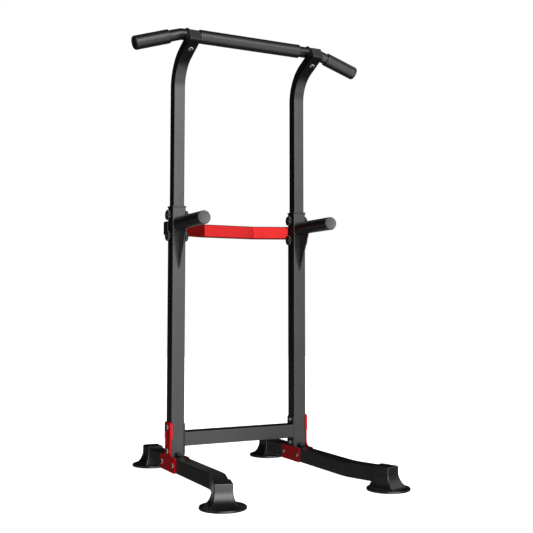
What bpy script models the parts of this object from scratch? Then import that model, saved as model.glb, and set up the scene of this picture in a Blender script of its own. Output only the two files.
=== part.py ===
"""Power tower: a free-standing pull-up and dip station.

Frame: metres, +Z up, floor at Z = 0, the user faces +Y from the open side,
the origin is the centre of the footprint.  Everything is placed from the
plane of the two uprights, Y = UPRIGHT_Y.
"""
import math

import bmesh
import bpy
from mathutils import Matrix, Vector

# ---------------------------------------------------------------- dimensions
GAP = 0.0003                 # clearance kept between neighbouring pieces
UPRIGHT_X = 0.296            # half the spacing of the uprights
UPRIGHT_Y = 0.1735           # plane of the uprights
WALL = 0.002                 # wall of every square tube
CORNER = 0.004               # outer corner radius of the square tubes

LOWER = 0.060                # lower tubes, rails and crossbar are 60 x 60
UPPER = 0.050                # upper tubes are 50 x 50

RAIL_Z = 0.0577              # centre height of the floor rails
RAIL_REAR = 0.3172           # rear end of a rail, behind the uprights
RAIL_BEND = -0.425           # where the front end starts to splay
RAIL_SPLAY = math.radians(18.0)
RAIL_BEND_R = 0.200

FOOT_FRONT = -0.6445         # front foot centres, ahead of the uprights
FOOT_REAR = 0.2975           # rear foot centres
FOOT_R = 0.087
SHOE_W = 0.070
SHOE_TOP = 0.0933
SHOE_BACK = -0.054           # shoe sleeve, along the rail from the foot centre
SHOE_END = 0.0250

LOWER_TOP = 1.1515           # top of the lower tubes
RIM_TOP = 1.1580
BUSH_BOTTOM = 1.0730

UPPER_BOTTOM = 0.730
BEND_R = 0.150               # upper tubes curve forward
BEND_A = math.radians(64.7)
TIP_L = 0.1207               # straight end after the curve
TIP_CAP = 0.0045

BAR_Y = -0.121               # pull-up bar, ahead of the uprights
BAR_Z = 1.8835
BAR_R = 0.0244
BAR_BEND_X = 0.330
BAR_DROOP = math.radians(18.2)
GRIP_L = 0.2186              # bend to the outer face of the grip cap
FOAM_R = 0.0300
CENTRE_FOAM = (-0.247, 0.240)   # ends of the middle foam

# the curve starts where its straight end lies under the bar
SEAT = UPPER / 2 + BAR_R + GAP
BEND_Z = (BAR_Z - SEAT * math.sin(BEND_A) - BEND_R * math.sin(BEND_A)
          - (SEAT * math.cos(BEND_A) - BAR_Y - BEND_R * (1 - math.cos(BEND_A)))
          / math.tan(BEND_A))

DIP_Z = 1.0825
DIP_R = 0.0243
DIP_FOAM_R = 0.0285
DIP_END = -0.3150            # outer face of the dip caps

BACK_H = 0.0573              # back bar section, high x deep
BACK_D = 0.0450
BACK_Z = 1.06585
BACK_NEAR = 0.0304           # front face at the uprights, behind their plane
BACK_FAR = 0.0979            # front face in the middle
BACK_X1 = 0.1306             # bends on the centre line
BACK_X2 = 0.2876

CROSS_Z = 0.1595
BOLT_R = 0.0041
HOLE_R = 0.0046
THROUGH_Z = (0.2090, 0.1085)
RAIL_BOLT_Y = 0.064
KNOB_Z = {"upper": 1.118, "lower": 1.028}
KNOB_R = 0.0230
PIN_PITCH = 0.090            # height steps of the upper tubes

BRACKET_T = 0.006
BRACKET_WIDE = 0.086
BRACKET_TOP = 0.2320
PLATE_T = 0.004

# ------------------------------------------------------------------ clearing
for old in list(bpy.data.objects):
    bpy.data.objects.remove(old, do_unlink=True)

scene = bpy.context.scene
PARTS = bpy.data.collections.new("power_tower")
CUTTERS = bpy.data.collections.new("cutters")
scene.collection.children.link(PARTS)
scene.collection.children.link(CUTTERS)


# ----------------------------------------------------------------- materials
def material(name, colour, roughness, metallic):
    mat = bpy.data.materials.new(name)
    mat.use_nodes = True
    bsdf = mat.node_tree.nodes["Principled BSDF"]
    bsdf.inputs["Base Color"].default_value = (*colour, 1.0)
    bsdf.inputs["Roughness"].default_value = roughness
    bsdf.inputs["Metallic"].default_value = metallic
    return mat


LOOKS = {
    "black_coat": ((0.018, 0.018, 0.019), 0.42, 0.0),
    "red_coat": ((0.600, 0.012, 0.014), 0.35, 0.0),
    "foam": ((0.020, 0.020, 0.021), 0.75, 0.0),
    "rubber": ((0.016, 0.016, 0.017), 0.55, 0.0),
    "black_plastic": ((0.015, 0.015, 0.016), 0.40, 0.0),
    "grey_plastic": ((0.110, 0.110, 0.115), 0.50, 0.0),
    "zinc": ((0.620, 0.620, 0.630), 0.30, 1.0),
    "black_steel": ((0.030, 0.030, 0.032), 0.35, 1.0),
}


# ------------------------------------------------------------------- helpers
def place(obj, coll):
    for c in list(obj.users_collection):
        c.objects.unlink(obj)
    coll.objects.link(obj)
    if coll is CUTTERS:
        obj.hide_render = True
        obj.display_type = "WIRE"
    return obj


def finish(obj, look):
    colour, rough, metal = LOOKS[look]
    obj.data.materials.clear()
    obj.data.materials.append(material(obj.name, colour, rough, metal))
    if not obj.data.polygons or obj.data.polygons[0].use_smooth is False:
        obj.data.shade_smooth()
        obj.data.set_sharp_from_angle(angle=math.radians(35))
    return obj


def curve_to_mesh(obj, coll):
    """The evaluated curve as a welded mesh object at the same place."""
    bpy.context.view_layer.update()
    graph = bpy.context.evaluated_depsgraph_get()
    mesh = bpy.data.meshes.new_from_object(obj.evaluated_get(graph))
    bm = bmesh.new()
    bm.from_mesh(mesh)
    bmesh.ops.remove_doubles(bm, verts=bm.verts, dist=0.00001)
    bmesh.ops.recalc_face_normals(bm, faces=bm.faces)
    bm.to_mesh(mesh)
    bm.free()
    name = obj.name
    world = obj.matrix_world.copy()
    bpy.data.objects.remove(obj, do_unlink=True)
    out = bpy.data.objects.new(name, mesh)
    out.matrix_world = world
    coll.objects.link(out)
    if coll is CUTTERS:
        out.hide_render = True
        out.display_type = "WIRE"
    return out


def rounded(w, h, r, seg=1):
    """Outline of a rectangle w x h with rounded corners, anticlockwise."""
    pts = []
    for cx, cy, a0 in ((w / 2 - r, h / 2 - r, 0), (-w / 2 + r, h / 2 - r, 90),
                       (-w / 2 + r, -h / 2 + r, 180), (w / 2 - r, -h / 2 + r, 270)):
        for i in range(seg + 1):
            a = math.radians(a0 + 90 * i / seg)
            pts.append((cx + r * math.cos(a), cy + r * math.sin(a)))
    return pts


def slab(name, outlines, depth, coll=PARTS):
    """A flat outline (further outlines are holes) extruded along local Z."""
    cu = bpy.data.curves.new(name, "CURVE")
    cu.dimensions = "2D"
    cu.fill_mode = "BOTH"
    cu.extrude = depth / 2
    for pts in outlines:
        sp = cu.splines.new("POLY")
        sp.points.add(len(pts) - 1)
        for p, (x, y) in zip(sp.points, pts):
            p.co = (x, y, 0, 1)
        sp.use_cyclic_u = True
    ob = bpy.data.objects.new(name, cu)
    coll.objects.link(ob)
    return ob


def sweep(name, path, w, h, coll=PARTS, r=CORNER):
    """A rounded rectangle swept along a path in the local XY plane.

    w lies across the path in the plane, h along local Z."""
    prof = bpy.data.curves.new(name + "_profile", "CURVE")
    prof.dimensions = "2D"
    prof.fill_mode = "NONE"
    sp = prof.splines.new("POLY")
    pts = rounded(w, h, r)
    sp.points.add(len(pts) - 1)
    for p, (x, y) in zip(sp.points, pts):
        p.co = (x, y, 0, 1)
    sp.use_cyclic_u = True
    prof_ob = bpy.data.objects.new(name + "_profile", prof)
    CUTTERS.objects.link(prof_ob)
    cu = bpy.data.curves.new(name, "CURVE")
    cu.dimensions = "3D"
    cu.twist_mode = "Z_UP"
    cu.bevel_mode = "OBJECT"
    cu.bevel_object = prof_ob
    cu.use_fill_caps = True
    cu.render_resolution_u = 0
    sp = cu.splines.new("POLY")
    sp.points.add(len(path) - 1)
    for p, (x, y) in zip(sp.points, path):
        p.co = (x, y, 0, 1)
    ob = bpy.data.objects.new(name, cu)
    coll.objects.link(ob)
    out = curve_to_mesh(ob, coll)
    bpy.data.objects.remove(prof_ob, do_unlink=True)
    return out


def pipe(name, path, radius, coll=PARTS, resolution=8):
    """A round bar along a path of points."""
    cu = bpy.data.curves.new(name, "CURVE")
    cu.dimensions = "3D"
    cu.bevel_depth = radius
    cu.bevel_resolution = resolution
    cu.use_fill_caps = True
    cu.render_resolution_u = 0
    sp = cu.splines.new("POLY")
    sp.points.add(len(path) - 1)
    for p, co in zip(sp.points, path):
        p.co = (*co, 1)
    ob = bpy.data.objects.new(name, cu)
    coll.objects.link(ob)
    return curve_to_mesh(ob, coll)


def aim(obj, where, axis, twist=0.0):
    """Local Z along axis, origin at where."""
    q = Vector(axis).normalized().to_track_quat("Z", "Y")
    m = q.to_matrix().to_4x4() @ Matrix.Rotation(twist, 4, "Z")
    obj.matrix_world = Matrix.Translation(where) @ m
    return obj


def turned(name, profile, where, axis, steps=24, coll=PARTS, closed=False):
    """A profile of (radius, height), top to bottom on its outer side, turned
    about the axis by a Screw modifier."""
    me = bpy.data.meshes.new(name)
    verts = [(r, 0.0, z) for r, z in profile]
    edges = [(i, i + 1) for i in range(len(profile) - 1)]
    if closed:
        edges.append((len(profile) - 1, 0))
    me.from_pydata(verts, edges, [])
    ob = bpy.data.objects.new(name, me)
    coll.objects.link(ob)
    sc = ob.modifiers.new("turn", "SCREW")
    sc.axis = "Z"
    sc.steps = steps
    sc.render_steps = steps
    sc.use_merge_vertices = True
    sc.merge_threshold = 0.00001
    sc.use_smooth_shade = True
    aim(ob, where, axis)
    if coll is CUTTERS:
        ob.hide_render = True
        ob.display_type = "WIRE"
    return ob


def block(name, size, centre, coll=PARTS, bevel=0.0, rot=None):
    """A box, its edges eased when bevel is given."""
    bpy.ops.mesh.primitive_cube_add(size=1.0)
    ob = bpy.context.object
    ob.name = name
    ob.data.name = name
    ob.data.transform(Matrix.Diagonal((*size, 1.0)))
    m = Matrix.Translation(centre)
    if rot is not None:
        m = m @ rot
    ob.matrix_world = m
    place(ob, coll)
    if bevel:
        bv = ob.modifiers.new("ease", "BEVEL")
        bv.width = bevel
        bv.segments = 1
        bv.limit_method = "ANGLE"
    return ob


def rod_cutter(name, where, axis, radius, length, sides=8):
    """A round cutter centred on where."""
    h = length / 2
    return turned(name, [(0, h), (radius, h), (radius, -h), (0, -h)],
                  where, axis, sides, CUTTERS)


def combine(obj, other, operation):
    md = obj.modifiers.new(other.name, "BOOLEAN")
    md.operation = operation
    md.solver = "EXACT"
    md.object = other
    if other.name not in CUTTERS.objects:
        place(other, CUTTERS)
    return obj


def cut(obj, *cutters):
    for c in cutters:
        combine(obj, c, "DIFFERENCE")
    return obj


def add(obj, *pieces):
    for p in pieces:
        combine(obj, p, "UNION")
    return obj


def arc(cx, cy, r, a0, a1, n):
    return [(cx + r * math.cos(a0 + (a1 - a0) * i / n),
             cy + r * math.sin(a0 + (a1 - a0) * i / n)) for i in range(n + 1)]


def fillet(points, radius, n=3):
    """A planar path with its inner corners rounded."""
    out = [points[0]]
    for a, b, c in zip(points, points[1:], points[2:]):
        a, b, c = Vector(a), Vector(b), Vector(c)
        u, v = (a - b).normalized(), (c - b).normalized()
        half = u.angle(v) / 2
        t = radius / math.tan(half)
        centre = b + (u + v).normalized() * (radius / math.sin(half))
        p0, p1 = b + u * t - centre, b + v * t - centre
        ang = math.atan2(p0.x * p1.y - p0.y * p1.x, p0.dot(p1))
        for i in range(n + 1):
            w = ang * i / n
            out.append((centre.x + p0.x * math.cos(w) - p0.y * math.sin(w),
                        centre.y + p0.x * math.sin(w) + p0.y * math.cos(w)))
    out.append(points[-1])
    return out


def yy(y):
    """World Y of a distance behind the plane of the uprights."""
    return UPRIGHT_Y + y


SIDES = (("left", -1.0), ("right", 1.0))
X_AXIS, Y_AXIS, Z_AXIS = (1, 0, 0), (0, 1, 0), (0, 0, 1)
ALONG_X = Matrix.Rotation(math.radians(90), 4, "Y")
# local X -> world -Y, local Y -> world Z, local Z -> world -X
SIDE_PLANE = Matrix(((0, 0, -1, 0), (-1, 0, 0, 0), (0, 1, 0, 0), (0, 0, 0, 1)))
# local X -> world Y, local Y -> world Z, local Z -> world X
PLATE_PLANE = Matrix(((0, 0, 1, 0), (1, 0, 0, 0), (0, 1, 0, 0), (0, 0, 0, 1)))

lift = bpy.data.objects.new("upper_frame_lift", None)
lift.location = (0, UPRIGHT_Y, LOWER_TOP)
PARTS.objects.link(lift)


def rides(obj):
    """The piece slides up and down with the upper frame."""
    bpy.context.view_layer.update()
    obj.parent = lift
    obj.matrix_parent_inverse = Matrix.Translation(lift.location).inverted()
    return obj


# --------------------------------------------------------------- floor rails
BEND_X = UPRIGHT_X + RAIL_BEND_R * (1 - math.cos(RAIL_SPLAY))
BEND_Y = RAIL_BEND - RAIL_BEND_R * math.sin(RAIL_SPLAY)
REACH = (BEND_Y - FOOT_FRONT) / math.cos(RAIL_SPLAY)
FOOT_X = BEND_X + REACH * math.sin(RAIL_SPLAY)
IN_SHOE = SHOE_END - 0.0053   # rail end, past the foot centre


def rail_path(s, extra=0.0):
    pts = [(s * UPRIGHT_X, yy(RAIL_REAR + extra))]
    for i in range(6):
        a = RAIL_SPLAY * i / 5
        pts.append((s * (UPRIGHT_X + RAIL_BEND_R * (1 - math.cos(a))),
                    yy(RAIL_BEND - RAIL_BEND_R * math.sin(a))))
    length = REACH + IN_SHOE + extra
    pts.append((s * (BEND_X + length * math.sin(RAIL_SPLAY)),
                yy(BEND_Y - length * math.cos(RAIL_SPLAY))))
    return pts


for side, s in SIDES:
    rail = sweep(side + "_base_rail", rail_path(s), LOWER, LOWER)
    rail.location.z = RAIL_Z
    bore = sweep(side + "_rail_bore", rail_path(s, 0.02), LOWER - 2 * WALL,
                 LOWER - 2 * WALL, CUTTERS, CORNER - WALL)
    bore.location.z = RAIL_Z
    holes = [rod_cutter(side + "_rail_hole_%d" % i,
                        (s * UPRIGHT_X, yy(y), RAIL_Z), X_AXIS, HOLE_R, 0.08)
             for i, y in enumerate((-RAIL_BOLT_Y, RAIL_BOLT_Y))]
    holes.append(rod_cutter(side + "_foot_bolt_hole",
                            (s * UPRIGHT_X, yy(-0.047), RAIL_Z + 0.03),
                            Z_AXIS, HOLE_R, 0.03))
    finish(cut(rail, bore, *holes), "black_coat")

# ----------------------------------------------------------------- foot shoes
SKIRT = [(0, 0.046), (0.040, 0.046), (0.0455, 0.036), (0.0520, 0.0265),
         (0.0630, 0.0175), (0.0840, 0.0110), (FOOT_R, 0.0085), (FOOT_R, 0),
         (0, 0)]
for side, s in SIDES:
    for end, fx, fy, ang in (("front", FOOT_X, FOOT_FRONT, math.pi + s * RAIL_SPLAY),
                             ("rear", UPRIGHT_X, FOOT_REAR, 0.0)):
        name = "%s_%s_foot" % (end, side)
        turn = Matrix.Rotation(ang, 4, "Z")
        at = Vector((s * fx, yy(fy), 0.0))
        foot = turned(name, SKIRT, at, Z_AXIS, 24)
        length = SHOE_END - SHOE_BACK
        mid = (SHOE_END + SHOE_BACK) / 2
        z0 = 0.0205
        sleeve = block(name + "_sleeve", (SHOE_W, length, SHOE_TOP - z0),
                       at + turn @ Vector((0, mid, (SHOE_TOP + z0) / 2)),
                       CUTTERS, 0.005, turn)
        p0, p1 = SHOE_BACK - 0.03, IN_SHOE + GAP
        w = LOWER + 2 * GAP
        pocket = block(name + "_pocket", (w, p1 - p0, w),
                       at + turn @ Vector((0, (p0 + p1) / 2, RAIL_Z)),
                       CUTTERS, 0.0, turn)
        finish(cut(add(foot, sleeve), pocket), "rubber")

# ------------------------------------------------------------- lower uprights
BACK_BOLT_X = 0.3055
LOWER_BOTTOM = RAIL_Z + LOWER / 2 + GAP
for side, s in SIDES:
    h = LOWER_TOP - LOWER_BOTTOM
    ring = [rounded(LOWER, LOWER, CORNER),
            rounded(LOWER - 2 * WALL, LOWER - 2 * WALL, CORNER - WALL)]
    tube = slab(side + "_lower_upright", ring, h)
    tube.matrix_world = Matrix.Translation(
        (s * UPRIGHT_X, UPRIGHT_Y, (LOWER_TOP + LOWER_BOTTOM) / 2))
    tube = curve_to_mesh(tube, PARTS)
    holes = []
    for i, z in enumerate((*THROUGH_Z, *KNOB_Z.values())):
        holes.append(rod_cutter(side + "_side_hole_%d" % i,
                                (s * UPRIGHT_X, UPRIGHT_Y, z), X_AXIS, HOLE_R, 0.08))
    holes.append(rod_cutter(side + "_back_hole",
                            (s * BACK_BOLT_X, yy(LOWER / 2), BACK_Z), Y_AXIS, HOLE_R, 0.02))
    finish(cut(tube, *holes), "black_coat")

# ------------------------------------------------------------ lower crossbar
INNER_X = UPRIGHT_X - LOWER / 2                # inner faces of the uprights
PLATE_X = INNER_X - GAP - PLATE_T / 2
ring = [rounded(LOWER, LOWER, CORNER),
        rounded(LOWER - 2 * WALL, LOWER - 2 * WALL, CORNER - WALL)]
cross = slab("lower_crossbar", ring, 2 * (INNER_X - GAP - PLATE_T / 2))
cross.matrix_world = Matrix.Translation((0, UPRIGHT_Y, CROSS_Z)) @ ALONG_X
cross = curve_to_mesh(cross, PARTS)
for side, s in SIDES:
    flange = slab(side + "_cross_flange", [rounded(0.058, 0.1340, 0.008)], PLATE_T, CUTTERS)
    flange.matrix_world = (Matrix.Translation(
        (s * PLATE_X, UPRIGHT_Y, sum(THROUGH_Z) / 2)) @ PLATE_PLANE)
    add(cross, curve_to_mesh(flange, CUTTERS))
for side, s in SIDES:
    cut(cross, rod_cutter(side + "_cross_vent", (s * PLATE_X, UPRIGHT_Y, CROSS_Z),
                          X_AXIS, 0.014, 0.02, 12))
    for i, z in enumerate(THROUGH_Z):
        cut(cross, rod_cutter(side + "_cross_hole_%d" % i, (s * PLATE_X, UPRIGHT_Y, z),
                              X_AXIS, HOLE_R, 0.02))
finish(cross, "black_coat")

# --------------------------------------------- red outer brackets, inner plates
OUTER_X = UPRIGHT_X + LOWER / 2


def bracket_outline():
    w, b, t, m, r = 0.030, 0.0265, BRACKET_TOP, 0.0905, 0.022
    half = [(BRACKET_WIDE - 0.004, b), (BRACKET_WIDE, b + 0.004),
            (BRACKET_WIDE, m - 0.004), (BRACKET_WIDE - 0.004, m)]
    half += arc(w + r, m + r, r, -math.pi / 2, -math.pi, 5)
    half += [(w, t - 0.006), (w - 0.006, t)]
    return half + [(-x, y) for x, y in reversed(half)]


for side, s in SIDES:
    name = side + "_outer_bracket"
    plate = slab(name, [bracket_outline()], BRACKET_T)
    plate.matrix_world = (Matrix.Translation(
        (s * (OUTER_X + GAP + BRACKET_T / 2), UPRIGHT_Y, 0)) @ PLATE_PLANE)
    plate = curve_to_mesh(plate, PARTS)
    x0, x1 = OUTER_X - 0.0055, OUTER_X + GAP + BRACKET_T
    for tag, f in (("front", -1), ("rear", 1)):
        lip = block("%s_%s_lip" % (name, tag), (x1 - x0, 0.0040, 0.066),
                    (s * (x0 + x1) / 2, yy(f * (LOWER / 2 + GAP + 0.0020)), 0.1945), CUTTERS)
        web = block("%s_%s_web" % (name, tag), (BRACKET_T, 0.0060, 0.066),
                    (s * (OUTER_X + GAP + BRACKET_T / 2),
                     yy(f * (LOWER / 2 + GAP + 0.0010)), 0.1945), CUTTERS)
        add(plate, web, lip)
    for i, (y, z) in enumerate(((0, THROUGH_Z[0]), (0, THROUGH_Z[1]),
                                (-RAIL_BOLT_Y, RAIL_Z), (RAIL_BOLT_Y, RAIL_Z))):
        cut(plate, rod_cutter("%s_hole_%d" % (name, i),
                              (s * OUTER_X, yy(y), z), X_AXIS, HOLE_R, 0.03))
    finish(plate, "red_coat")

    name = side + "_inner_plate"
    plate = slab(name, [rounded(0.168, 0.0640, 0.005)], PLATE_T)
    plate.matrix_world = (Matrix.Translation((s * PLATE_X, UPRIGHT_Y, 0.0580)) @ PLATE_PLANE)
    plate = curve_to_mesh(plate, PARTS)
    for i, y in enumerate((-RAIL_BOLT_Y, RAIL_BOLT_Y)):
        cut(plate, rod_cutter("%s_hole_%d" % (name, i),
                              (s * PLATE_X, yy(y), RAIL_Z), X_AXIS, HOLE_R, 0.02))
    finish(plate, "red_coat")


# -------------------------------------------------------------- through-bolts
def bolt(name, top, bottom, axis_at, axis, head_r, head_h, nut_r, nut_h, look):
    """A button head above top, a shank, and a domed nut below bottom."""
    prof = [(0, top + head_h), (head_r * 0.6, top + head_h), (head_r, top + head_h * 0.35),
            (head_r, top), (BOLT_R, top)]
    if nut_h > 0:
        prof += [(BOLT_R, bottom), (nut_r, bottom), (nut_r, bottom - nut_h * 0.4),
                 (nut_r * 0.55, bottom - nut_h), (0, bottom - nut_h)]
    else:
        prof += [(BOLT_R, bottom), (0, bottom)]
    return finish(turned(name, prof, axis_at, axis, 8), look)


top = OUTER_X + 2 * GAP + BRACKET_T - UPRIGHT_X
low = -(LOWER / 2 + 2 * GAP + PLATE_T)
for side, s in SIDES:
    for tag, z in zip(("upper", "lower"), THROUGH_Z):
        bolt("%s_upright_bolt_%s" % (side, tag), top, low, (s * UPRIGHT_X, UPRIGHT_Y, z),
             (s, 0, 0), 0.0105, 0.0062, 0.0115, 0.0085, "zinc")
    for tag, y in (("front", -RAIL_BOLT_Y), ("rear", RAIL_BOLT_Y)):
        bolt("%s_rail_bolt_%s" % (side, tag), top, low, (s * UPRIGHT_X, yy(y), RAIL_Z),
             (s, 0, 0), 0.0105, 0.0062, 0.0115, 0.0070, "zinc")
    deck = RAIL_Z + LOWER / 2 + GAP
    bolt(side + "_foot_bolt", deck, deck - 0.012, (s * UPRIGHT_X, yy(-0.047), 0), Z_AXIS,
         0.0105, 0.0170, 0, 0, "zinc")

# --------------------------------------------------------- guides and glides
for side, s in SIDES:
    name = side + "_guide_bushing"
    outer, inner = LOWER - 2 * WALL - 2 * GAP, UPPER + 2 * GAP
    ring = [rounded(outer, outer, 0.002), rounded(inner, inner, CORNER)]
    bush = slab(name, ring, RIM_TOP - BUSH_BOTTOM)
    bush.matrix_world = Matrix.Translation(
        (s * UPRIGHT_X, UPRIGHT_Y, (RIM_TOP + BUSH_BOTTOM) / 2))
    bush = curve_to_mesh(bush, PARTS)
    rim_h = RIM_TOP - LOWER_TOP - GAP
    rim = slab(name + "_rim", [rounded(0.0655, 0.0655, 0.005),
                               rounded(inner + 0.002, inner + 0.002, CORNER)], rim_h, CUTTERS)
    rim.matrix_world = Matrix.Translation((s * UPRIGHT_X, UPRIGHT_Y, RIM_TOP - rim_h / 2))
    add(bush, curve_to_mesh(rim, CUTTERS))
    cut(bush, rod_cutter(name + "_hole", (s * UPRIGHT_X, UPRIGHT_Y, KNOB_Z["upper"]),
                         X_AXIS, HOLE_R, 0.08))
    finish(bush, "black_plastic")

    name = side + "_lower_glide"
    pad = block(name, (0.0550, 0.0550, 0.0045),
                (s * UPRIGHT_X, UPRIGHT_Y, UPPER_BOTTOM - GAP - 0.00225), PARTS, 0.0018)
    plug = block(name + "_plug", (0.0440, 0.0440, 0.024),
                 (s * UPRIGHT_X, UPRIGHT_Y, UPPER_BOTTOM + 0.010), CUTTERS)
    rides(finish(add(pad, plug), "black_plastic"))

# -------------------------------------------------------------- upper uprights
TIP_DIR = Vector((0, -math.sin(BEND_A), math.cos(BEND_A)))
TIP_UP = Vector((0, math.cos(BEND_A), math.sin(BEND_A)))


def mast_path(extra=0.0):
    """(forward, up) points of the upper tube's centre line."""
    pts = [(0.0, UPPER_BOTTOM - extra)]
    for i in range(9):
        a = BEND_A * i / 8
        pts.append((BEND_R * (1 - math.cos(a)), BEND_Z + BEND_R * math.sin(a)))
    f, u = pts[-1]
    pts.append((f + (TIP_L + extra) * math.sin(BEND_A), u + (TIP_L + extra) * math.cos(BEND_A)))
    return pts


tip_f, tip_u = mast_path()[-1]
for side, s in SIDES:
    at = Matrix.Translation((s * UPRIGHT_X, UPRIGHT_Y, 0)) @ SIDE_PLANE
    mast = sweep(side + "_upper_upright", mast_path(), UPPER, UPPER)
    mast.matrix_world = at
    bore = sweep(side + "_mast_bore", mast_path(0.02), UPPER - 2 * WALL,
                 UPPER - 2 * WALL, CUTTERS, CORNER - WALL)
    bore.matrix_world = at
    cut(mast, bore)
    for n in range(-4, 1):
        cut(mast, rod_cutter("%s_pin_hole_%d" % (side, -n),
                             (s * UPRIGHT_X, UPRIGHT_Y, KNOB_Z["upper"] + n * PIN_PITCH),
                             X_AXIS, HOLE_R, 0.07, 6))
    cut(mast, rod_cutter(side + "_mast_bolt_hole",
                         Vector((s * UPRIGHT_X, yy(BAR_Y), BAR_Z)) - TIP_UP * 0.05,
                         TIP_UP, HOLE_R, 0.07))
    rides(finish(mast, "black_coat"))

    name = side + "_tip_cap"
    tip = Vector((s * UPRIGHT_X, yy(-tip_f), tip_u))
    frame = TIP_DIR.to_track_quat("Z", "Y").to_matrix().to_4x4()
    cap = block(name, (UPPER, UPPER, TIP_CAP), tip + TIP_DIR * (GAP + TIP_CAP / 2),
                PARTS, 0.0, frame)
    plug = block(name + "_plug", (0.0440, 0.0440, 0.014),
                 tip - TIP_DIR * 0.0060, CUTTERS, 0.0, frame)
    rides(finish(add(cap, plug), "grey_plastic"))

# ---------------------------------------------------------------- pull-up bar
GRIP_DIR = {s: Vector((s * math.cos(BAR_DROOP), 0, -math.sin(BAR_DROOP))) for s in (-1.0, 1.0)}
GRIP_CAP = 0.0035


def bar_path(extra=0.0):
    """Left grip end to right grip end, in (across, up) from the bar's middle."""
    length = GRIP_L - GRIP_CAP - GAP + extra
    dx, dz = length * math.cos(BAR_DROOP), -length * math.sin(BAR_DROOP)
    flat = fillet([(-BAR_BEND_X - dx, dz), (-BAR_BEND_X, 0.0),
                   (BAR_BEND_X, 0.0), (BAR_BEND_X + dx, dz)], 0.060, 3)
    return [(x, yy(BAR_Y), BAR_Z + z) for x, z in flat]


bar = pipe("pull_up_bar", bar_path(), BAR_R, PARTS, 8)
cut(bar, pipe("bar_bore", bar_path(0.02), BAR_R - 0.002, CUTTERS, 8))
for side, s in SIDES:
    cut(bar, rod_cutter(side + "_bar_hole", (s * UPRIGHT_X, yy(BAR_Y), BAR_Z),
                        TIP_UP, HOLE_R, 0.07))
rides(finish(bar, "black_coat"))


def sleeve(name, where, axis, length, inner, outer, steps=20):
    """A foam tube from where along axis."""
    prof = [(inner, 0), (inner, length), (outer, length), (outer, 0)]
    return turned(name, prof, where, axis, steps, closed=True)


rides(finish(sleeve("centre_bar_foam", (CENTRE_FOAM[0], yy(BAR_Y), BAR_Z), X_AXIS,
                    CENTRE_FOAM[1] - CENTRE_FOAM[0], 0.0250, FOAM_R), "foam"))


def end_cap(name, where, axis, radius, thick, plug_r, look):
    """A disc whose outer face is at where, with a plug down into the tube."""
    prof = [(0, 0), (radius, 0), (radius, -thick), (plug_r, -thick),
            (plug_r, -thick - 0.014), (0, -thick - 0.014)]
    return finish(turned(name, prof, where, axis, 20), look)


FOAM_FROM = (0.385 - BAR_BEND_X) / math.cos(BAR_DROOP)
for side, s in SIDES:
    bend = Vector((s * BAR_BEND_X, yy(BAR_Y), BAR_Z))
    d = GRIP_DIR[s]
    rides(finish(sleeve(side + "_grip_foam", bend + d * FOAM_FROM, d,
                        GRIP_L - GRIP_CAP - GAP - FOAM_FROM, 0.0250, FOAM_R), "foam"))
    rides(end_cap(side + "_grip_cap", bend + d * GRIP_L, d, 0.0275, GRIP_CAP,
                  0.0218, "black_plastic"))
    prof_top = BAR_R + GAP
    prof_low = -(BAR_R + UPPER) - 2 * GAP - 0.0002
    rides(bolt(side + "_bar_bolt", -prof_low, -prof_top,
               (s * UPRIGHT_X, yy(BAR_Y), BAR_Z), -TIP_UP,
               0.0105, 0.0062, 0.0120, 0.0130, "zinc"))

# ----------------------------------------------------------------- dip handles
for side, s in SIDES:
    name = side + "_dip_arm"
    root = Vector((s * UPRIGHT_X, yy(-LOWER / 2 - GAP), DIP_Z))
    tube_l = -DIP_END - LOWER / 2 - GAP - 0.0042 - GAP
    arm = turned(name, [(DIP_R - 0.002, 0), (DIP_R - 0.002, tube_l), (DIP_R, tube_l), (DIP_R, 0)],
                 root, (0, -1, 0), 20, closed=True)
    top = DIP_Z - DIP_R + 0.0012
    outline = [(-LOWER / 2 - GAP, top), (-LOWER / 2 - GAP, 0.8870), (-LOWER / 2 - 0.0045, 0.8870),
               (-0.1120, 1.0480), (-0.1150, top)]
    web = slab(name + "_web", [outline], 0.005, CUTTERS)
    web.matrix_world = Matrix.Translation((s * UPRIGHT_X, UPRIGHT_Y, 0)) @ PLATE_PLANE
    finish(add(arm, curve_to_mesh(web, CUTTERS)), "black_coat")

    name = side + "_dip_foam"
    foam = sleeve(name, (s * UPRIGHT_X, yy(-LOWER / 2 - 0.0035), DIP_Z), (0, -1, 0),
                  -DIP_END - LOWER / 2 - 0.0035 - 0.0042 - GAP, 0.0248, DIP_FOAM_R)
    slot = block(name + "_slot", (0.0060, 0.0860, 0.0200),
                 (s * UPRIGHT_X, yy(-LOWER / 2 - 0.0430), DIP_Z - 0.0300), CUTTERS)
    finish(cut(foam, slot), "foam")
    end_cap(side + "_dip_cap", (s * UPRIGHT_X, yy(DIP_END), DIP_Z), (0, -1, 0),
            0.0262, 0.0042, 0.0218, "grey_plastic")

# -------------------------------------------------------------------- back bar
near, far = BACK_NEAR + BACK_D / 2, BACK_FAR + BACK_D / 2


def back_path(extra=0.0):
    pts = [(-OUTER_X - extra, yy(near)), (-BACK_X2, yy(near)), (-BACK_X1, yy(far)),
           (BACK_X1, yy(far)), (BACK_X2, yy(near)), (OUTER_X + extra, yy(near))]
    return fillet(pts, 0.040, 2)


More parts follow.
